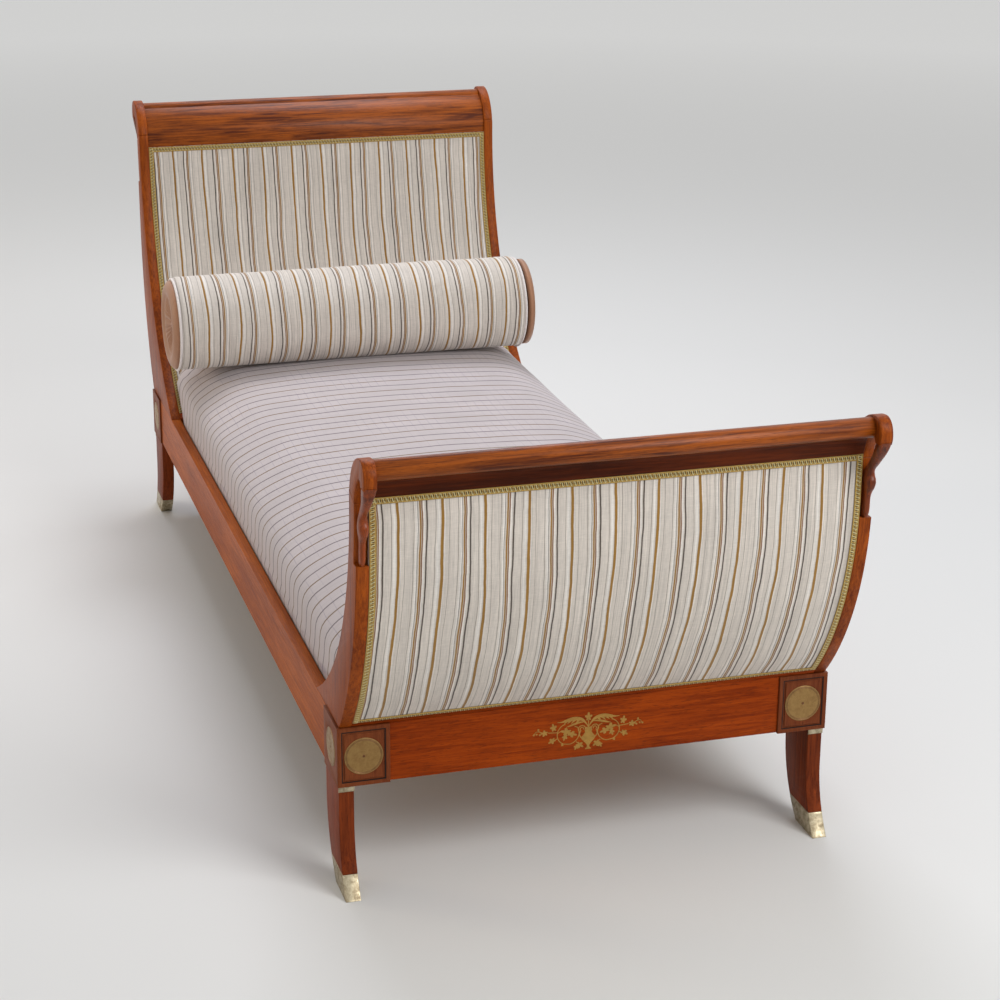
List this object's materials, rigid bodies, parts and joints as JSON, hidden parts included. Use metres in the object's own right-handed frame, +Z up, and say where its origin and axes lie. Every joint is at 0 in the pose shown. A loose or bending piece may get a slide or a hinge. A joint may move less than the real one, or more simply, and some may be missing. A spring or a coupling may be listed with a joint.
{
  "type": "recamier daybed",
  "caption": "Upholstered daybed with a low and a tall out-curving end, swan-neck scrolls, sabre legs, a loose mattress and a loose bolster.",
  "frame": {"origin": "on the floor under the middle of the whole daybed", "axes": "+X towards the low foot end, along the bed; +Z up; the left side is at -Y"},
  "size_m": [2.448, 0.9055, 0.992],
  "materials": {
    "mahogany": "french polished, satin gloss",
    "ebony": "polished",
    "beech": "sawn, unfinished",
    "brass": "aged, engraved and lightly worn",
    "steel": "plain",
    "stripe_fabric": "woven stripes in off-white, ochre and charcoal",
    "mattress_fabric": "pale woven cotton with fine cross lines",
    "cap_fabric": "pleated silk",
    "piping": "corded piping",
    "gimp_braid": "woven gold braid"
  },
  "bodies": {
    "root": {"bracket_screws": "steel", "brass_marquetry": "brass", "brass_medallions": "brass", "corner_brackets": "steel", "ebony_stringing": "ebony", "foot_apron": "mahogany", "foot_block_left": "mahogany", "foot_block_right": "mahogany", "foot_crest_board": "mahogany", "foot_crest_roll": "mahogany", "foot_inner_gimp": "gimp_braid", "foot_inner_pad": "stripe_fabric", "foot_leg_left": "mahogany", "foot_leg_right": "mahogany", "foot_outer_gimp": "gimp_braid", "foot_outer_pad": "stripe_fabric", "foot_panel_frame": "beech", "foot_post_left": "mahogany", "foot_post_right": "mahogany", "foot_sabot_left": "brass", "foot_sabot_right": "brass", "foot_scroll_left": "mahogany", "foot_scroll_right": "mahogany", "foot_sill": "mahogany", "foot_swan_left": "mahogany", "foot_swan_right": "mahogany", "head_apron": "mahogany", "head_block_left": "mahogany", "head_block_right": "mahogany", "head_crest_board": "mahogany", "head_crest_roll": "mahogany", "head_inner_gimp": "gimp_braid", "head_inner_pad": "stripe_fabric", "head_leg_left": "mahogany", "head_leg_right": "mahogany", "head_outer_gimp": "gimp_braid", "head_outer_pad": "stripe_fabric", "head_panel_frame": "beech", "head_post_left": "mahogany", "head_post_right": "mahogany", "head_sabot_left": "brass", "head_sabot_right": "brass", "head_scroll_left": "mahogany", "head_scroll_right": "mahogany", "head_sill": "mahogany", "head_swan_left": "mahogany", "head_swan_right": "mahogany", "leg_collars": "brass", "post_dowels": "beech", "rail_dowels": "beech", "side_rail_left": "mahogany", "side_rail_right": "mahogany", "slat_ledger_left": "beech", "slat_ledger_right": "beech", "slats": "beech"},
    "mattress": {"mattress": "mattress_fabric"},
    "bolster": {"bolster": "stripe_fabric", "bolster_caps": "cap_fabric", "bolster_piping": "piping"}
  },
  "joints": [
    {"name": "mattress_lift", "type": "slide", "parent": "root", "child": "mattress", "axis": [0, 0, 1], "range_m": [0, 0.35]},
    {"name": "bolster_lift", "type": "slide", "parent": "mattress", "child": "bolster", "axis": [0, 0, 1], "range_m": [0, 0.3]}
  ]
}
